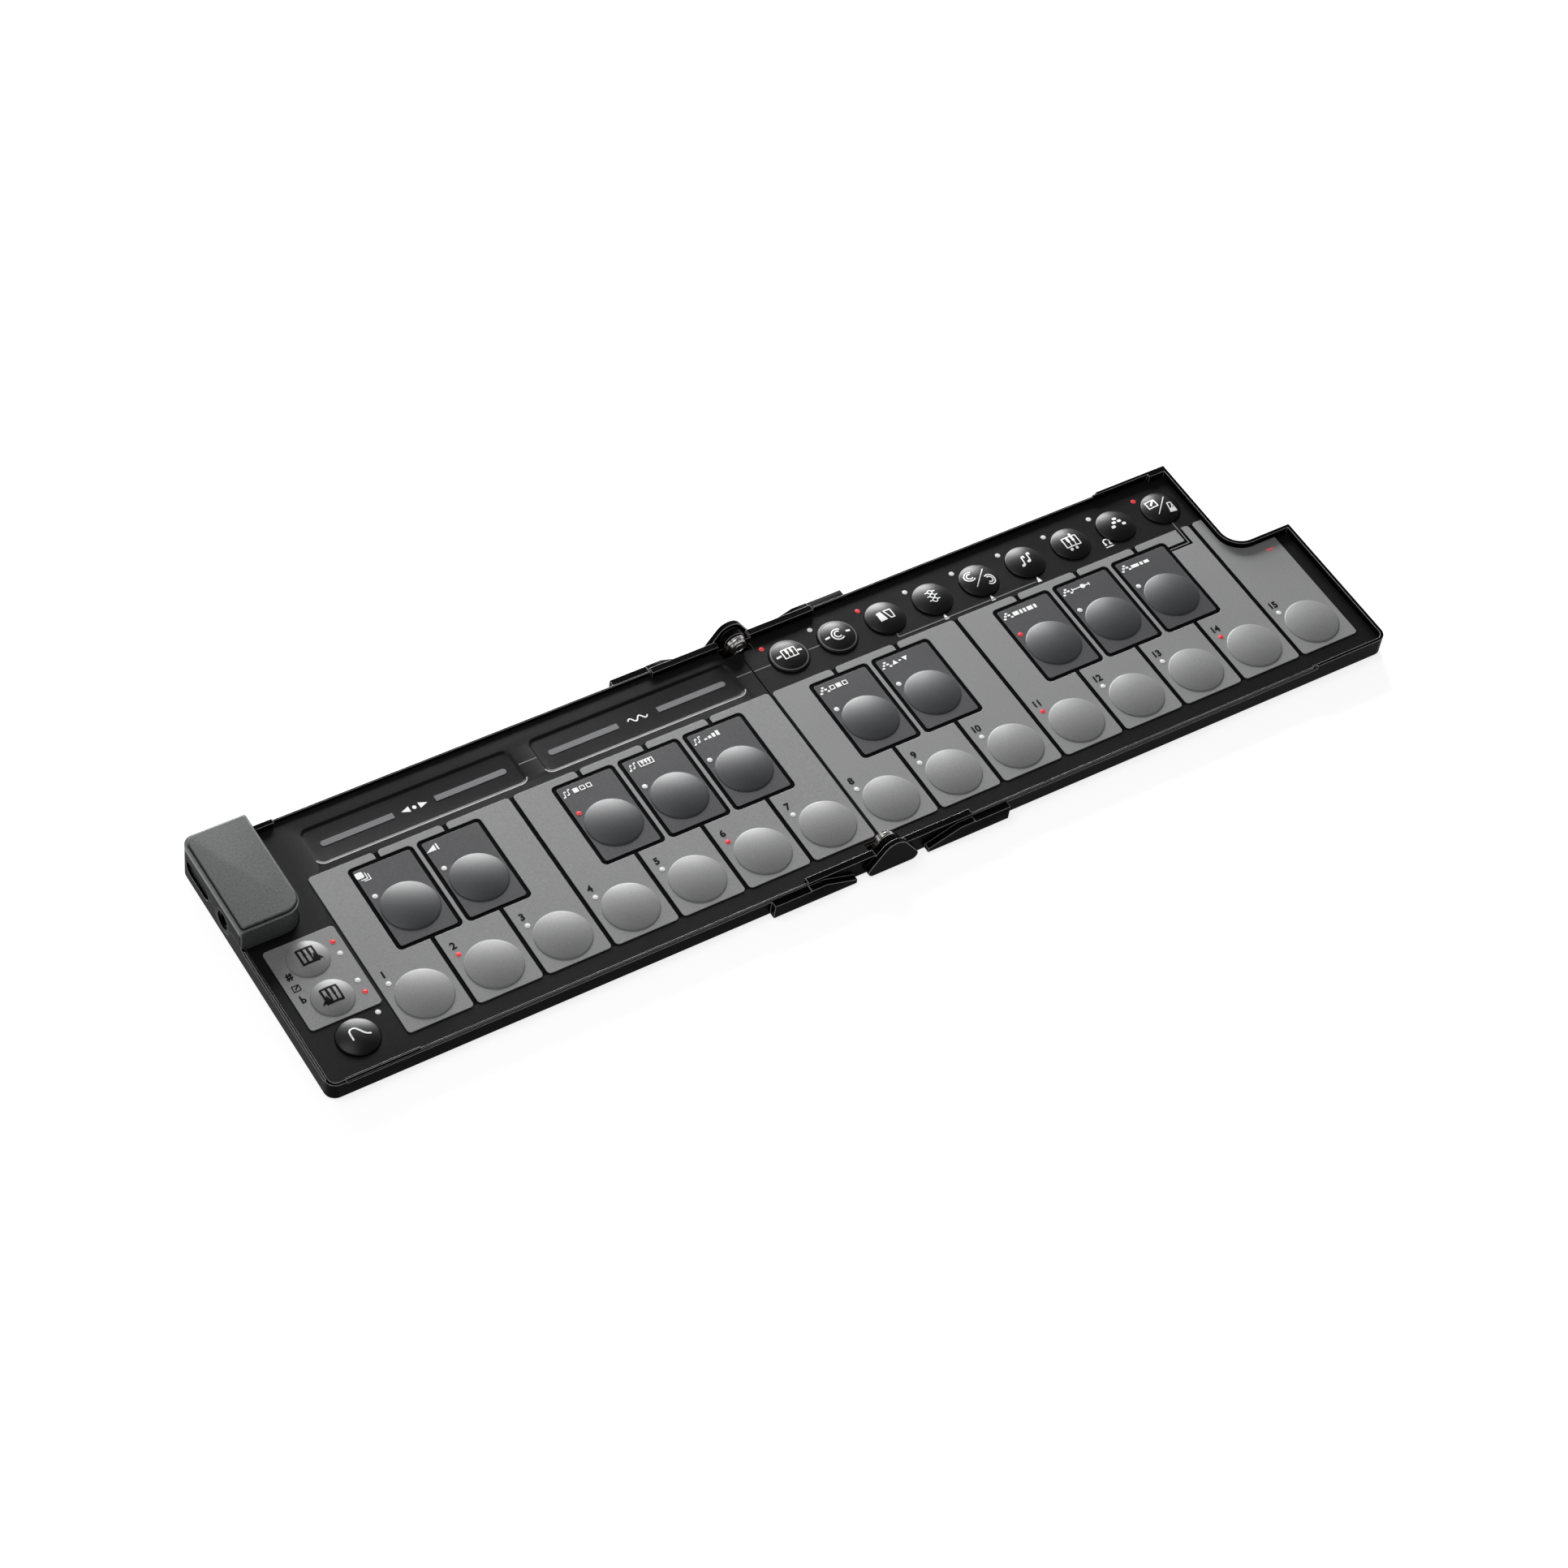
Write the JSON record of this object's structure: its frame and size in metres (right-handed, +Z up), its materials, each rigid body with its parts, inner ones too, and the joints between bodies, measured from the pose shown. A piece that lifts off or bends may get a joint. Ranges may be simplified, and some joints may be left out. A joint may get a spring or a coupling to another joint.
{
  "type": "folding midi keyboard",
  "caption": "Thin pocket keyboard of two hinged trays with round silicone key pads, touch strips, function buttons and a raised port housing.",
  "frame": {"origin": "middle of the fold line between front and back, on the table", "axes": "+X along the keys to the right, +Y to the back, +Z up"},
  "size_m": [0.3542, 0.0922, 0.0135],
  "materials": {
    "tray": "satin black moulding",
    "sheet": "fine grained black silicone",
    "light_face": "matt mid grey print",
    "dark_face": "matt dark grey print",
    "light_pad": "matt mid grey silicone",
    "dark_pad": "matt dark grey silicone",
    "function_pad": "matt black silicone",
    "shift_pad": "matt mid grey silicone",
    "touch_bar": "matt grey print",
    "lamp": "small clear windows, some lit red",
    "board": "circuit board laminate",
    "foot": "black rubber",
    "housing": "dark grey satin plastic",
    "socket_metal": "stamped steel shell",
    "jack": "black plastic",
    "hinge_cover": "satin black moulding",
    "leaf_metal": "bronze coloured metal",
    "steel": "polished steel"
  },
  "bodies": {
    "left_half": {"left_tray": "tray", "left_sheet": "sheet", "left_light_faces": "light_face", "left_dark_faces": "dark_face", "left_board": "board", "left_board_screws": "steel", "left_feet": "foot", "left_lamps": "lamp", "touch_bars": "touch_bar", "port_housing": "housing", "usb_socket": "socket_metal", "midi_jack": "jack", "hinge_covers": "hinge_cover", "hinge_leaves": "leaf_metal", "hinge_pins": "steel"},
    "right_half": {"right_tray": "tray", "right_sheet": "sheet", "right_light_faces": "light_face", "right_dark_faces": "dark_face", "right_board": "board", "right_board_screws": "steel", "right_feet": "foot", "right_lamps": "lamp"},
    "light_key_1": {"light_key_1": "light_pad"},
    "light_key_2": {"light_key_2": "light_pad"},
    "light_key_3": {"light_key_3": "light_pad"},
    "light_key_4": {"light_key_4": "light_pad"},
    "light_key_5": {"light_key_5": "light_pad"},
    "light_key_6": {"light_key_6": "light_pad"},
    "light_key_7": {"light_key_7": "light_pad"},
    "light_key_8": {"light_key_8": "light_pad"},
    "light_key_9": {"light_key_9": "light_pad"},
    "light_key_10": {"light_key_10": "light_pad"},
    "light_key_11": {"light_key_11": "light_pad"},
    "light_key_12": {"light_key_12": "light_pad"},
    "light_key_13": {"light_key_13": "light_pad"},
    "light_key_14": {"light_key_14": "light_pad"},
    "light_key_15": {"light_key_15": "light_pad"},
    "dark_key_1": {"dark_key_1": "dark_pad"},
    "dark_key_2": {"dark_key_2": "dark_pad"},
    "dark_key_3": {"dark_key_3": "dark_pad"},
    "dark_key_4": {"dark_key_4": "dark_pad"},
    "dark_key_5": {"dark_key_5": "dark_pad"},
    "dark_key_6": {"dark_key_6": "dark_pad"},
    "dark_key_7": {"dark_key_7": "dark_pad"},
    "dark_key_8": {"dark_key_8": "dark_pad"},
    "dark_key_9": {"dark_key_9": "dark_pad"},
    "dark_key_10": {"dark_key_10": "dark_pad"},
    "function_button_1": {"function_button_1": "function_pad"},
    "function_button_2": {"function_button_2": "function_pad"},
    "function_button_3": {"function_button_3": "function_pad"},
    "function_button_4": {"function_button_4": "function_pad"},
    "function_button_5": {"function_button_5": "function_pad"},
    "function_button_6": {"function_button_6": "function_pad"},
    "function_button_7": {"function_button_7": "function_pad"},
    "function_button_8": {"function_button_8": "function_pad"},
    "function_button_9": {"function_button_9": "function_pad"},
    "shift_up_button": {"shift_up_button": "shift_pad"},
    "shift_down_button": {"shift_down_button": "shift_pad"},
    "curve_button": {"curve_button": "function_pad"}
  },
  "joints": [
    {"name": "fold", "type": "hinge", "parent": "left_half", "child": "right_half", "pos_m": [0, 0, 0.00715], "axis": [0, -1, 0], "range_deg": [0, 180]},
    {"name": "light_key_1_press", "type": "slide", "parent": "left_half", "child": "light_key_1", "axis": [0, 0, -1], "range_m": [0, 0.0007], "stiffness_N_per_m": 700},
    {"name": "light_key_2_press", "type": "slide", "parent": "left_half", "child": "light_key_2", "axis": [0, 0, -1], "range_m": [0, 0.0007], "stiffness_N_per_m": 700},
    {"name": "light_key_3_press", "type": "slide", "parent": "left_half", "child": "light_key_3", "axis": [0, 0, -1], "range_m": [0, 0.0007], "stiffness_N_per_m": 700},
    {"name": "light_key_4_press", "type": "slide", "parent": "left_half", "child": "light_key_4", "axis": [0, 0, -1], "range_m": [0, 0.0007], "stiffness_N_per_m": 700},
    {"name": "light_key_5_press", "type": "slide", "parent": "left_half", "child": "light_key_5", "axis": [0, 0, -1], "range_m": [0, 0.0007], "stiffness_N_per_m": 700},
    {"name": "light_key_6_press", "type": "slide", "parent": "left_half", "child": "light_key_6", "axis": [0, 0, -1], "range_m": [0, 0.0007], "stiffness_N_per_m": 700},
    {"name": "light_key_7_press", "type": "slide", "parent": "left_half", "child": "light_key_7", "axis": [0, 0, -1], "range_m": [0, 0.0007], "stiffness_N_per_m": 700},
    {"name": "light_key_8_press", "type": "slide", "parent": "right_half", "child": "light_key_8", "axis": [0, 0, -1], "range_m": [0, 0.0007], "stiffness_N_per_m": 700},
    {"name": "light_key_9_press", "type": "slide", "parent": "right_half", "child": "light_key_9", "axis": [0, 0, -1], "range_m": [0, 0.0007], "stiffness_N_per_m": 700},
    {"name": "light_key_10_press", "type": "slide", "parent": "right_half", "child": "light_key_10", "axis": [0, 0, -1], "range_m": [0, 0.0007], "stiffness_N_per_m": 700},
    {"name": "light_key_11_press", "type": "slide", "parent": "right_half", "child": "light_key_11", "axis": [0, 0, -1], "range_m": [0, 0.0007], "stiffness_N_per_m": 700},
    {"name": "light_key_12_press", "type": "slide", "parent": "right_half", "child": "light_key_12", "axis": [0, 0, -1], "range_m": [0, 0.0007], "stiffness_N_per_m": 700},
    {"name": "light_key_13_press", "type": "slide", "parent": "right_half", "child": "light_key_13", "axis": [0, 0, -1], "range_m": [0, 0.0007], "stiffness_N_per_m": 700},
    {"name": "light_key_14_press", "type": "slide", "parent": "right_half", "child": "light_key_14", "axis": [0, 0, -1], "range_m": [0, 0.0007], "stiffness_N_per_m": 700},
    {"name": "light_key_15_press", "type": "slide", "parent": "right_half", "child": "light_key_15", "axis": [0, 0, -1], "range_m": [0, 0.0007], "stiffness_N_per_m": 700},
    {"name": "dark_key_1_press", "type": "slide", "parent": "left_half", "child": "dark_key_1", "axis": [0, 0, -1], "range_m": [0, 0.0007], "stiffness_N_per_m": 700},
    {"name": "dark_key_2_press", "type": "slide", "parent": "left_half", "child": "dark_key_2", "axis": [0, 0, -1], "range_m": [0, 0.0007], "stiffness_N_per_m": 700},
    {"name": "dark_key_3_press", "type": "slide", "parent": "left_half", "child": "dark_key_3", "axis": [0, 0, -1], "range_m": [0, 0.0007], "stiffness_N_per_m": 700},
    {"name": "dark_key_4_press", "type": "slide", "parent": "left_half", "child": "dark_key_4", "axis": [0, 0, -1], "range_m": [0, 0.0007], "stiffness_N_per_m": 700},
    {"name": "dark_key_5_press", "type": "slide", "parent": "left_half", "child": "dark_key_5", "axis": [0, 0, -1], "range_m": [0, 0.0007], "stiffness_N_per_m": 700},
    {"name": "dark_key_6_press", "type": "slide", "parent": "right_half", "child": "dark_key_6", "axis": [0, 0, -1], "range_m": [0, 0.0007], "stiffness_N_per_m": 700},
    {"name": "dark_key_7_press", "type": "slide", "parent": "right_half", "child": "dark_key_7", "axis": [0, 0, -1], "range_m": [0, 0.0007], "stiffness_N_per_m": 700},
    {"name": "dark_key_8_press", "type": "slide", "parent": "right_half", "child": "dark_key_8", "axis": [0, 0, -1], "range_m": [0, 0.0007], "stiffness_N_per_m": 700},
    {"name": "dark_key_9_press", "type": "slide", "parent": "right_half", "child": "dark_key_9", "axis": [0, 0, -1], "range_m": [0, 0.0007], "stiffness_N_per_m": 700},
    {"name": "dark_key_10_press", "type": "slide", "parent": "right_half", "child": "dark_key_10", "axis": [0, 0, -1], "range_m": [0, 0.0007], "stiffness_N_per_m": 700},
    {"name": "function_button_1_press", "type": "slide", "parent": "right_half", "child": "function_button_1", "axis": [0, 0, -1], "range_m": [0, 0.0007], "stiffness_N_per_m": 700},
    {"name": "function_button_2_press", "type": "slide", "parent": "right_half", "child": "function_button_2", "axis": [0, 0, -1], "range_m": [0, 0.0007], "stiffness_N_per_m": 700},
    {"name": "function_button_3_press", "type": "slide", "parent": "right_half", "child": "function_button_3", "axis": [0, 0, -1], "range_m": [0, 0.0007], "stiffness_N_per_m": 700},
    {"name": "function_button_4_press", "type": "slide", "parent": "right_half", "child": "function_button_4", "axis": [0, 0, -1], "range_m": [0, 0.0007], "stiffness_N_per_m": 700},
    {"name": "function_button_5_press", "type": "slide", "parent": "right_half", "child": "function_button_5", "axis": [0, 0, -1], "range_m": [0, 0.0007], "stiffness_N_per_m": 700},
    {"name": "function_button_6_press", "type": "slide", "parent": "right_half", "child": "function_button_6", "axis": [0, 0, -1], "range_m": [0, 0.0007], "stiffness_N_per_m": 700},
    {"name": "function_button_7_press", "type": "slide", "parent": "right_half", "child": "function_button_7", "axis": [0, 0, -1], "range_m": [0, 0.0007], "stiffness_N_per_m": 700},
    {"name": "function_button_8_press", "type": "slide", "parent": "right_half", "child": "function_button_8", "axis": [0, 0, -1], "range_m": [0, 0.0007], "stiffness_N_per_m": 700},
    {"name": "function_button_9_press", "type": "slide", "parent": "right_half", "child": "function_button_9", "axis": [0, 0, -1], "range_m": [0, 0.0007], "stiffness_N_per_m": 700},
    {"name": "shift_up_button_press", "type": "slide", "parent": "left_half", "child": "shift_up_button", "axis": [0, 0, -1], "range_m": [0, 0.0007], "stiffness_N_per_m": 700},
    {"name": "shift_down_button_press", "type": "slide", "parent": "left_half", "child": "shift_down_button", "axis": [0, 0, -1], "range_m": [0, 0.0007], "stiffness_N_per_m": 700},
    {"name": "curve_button_press", "type": "slide", "parent": "left_half", "child": "curve_button", "axis": [0, 0, -1], "range_m": [0, 0.0007], "stiffness_N_per_m": 700}
  ]
}
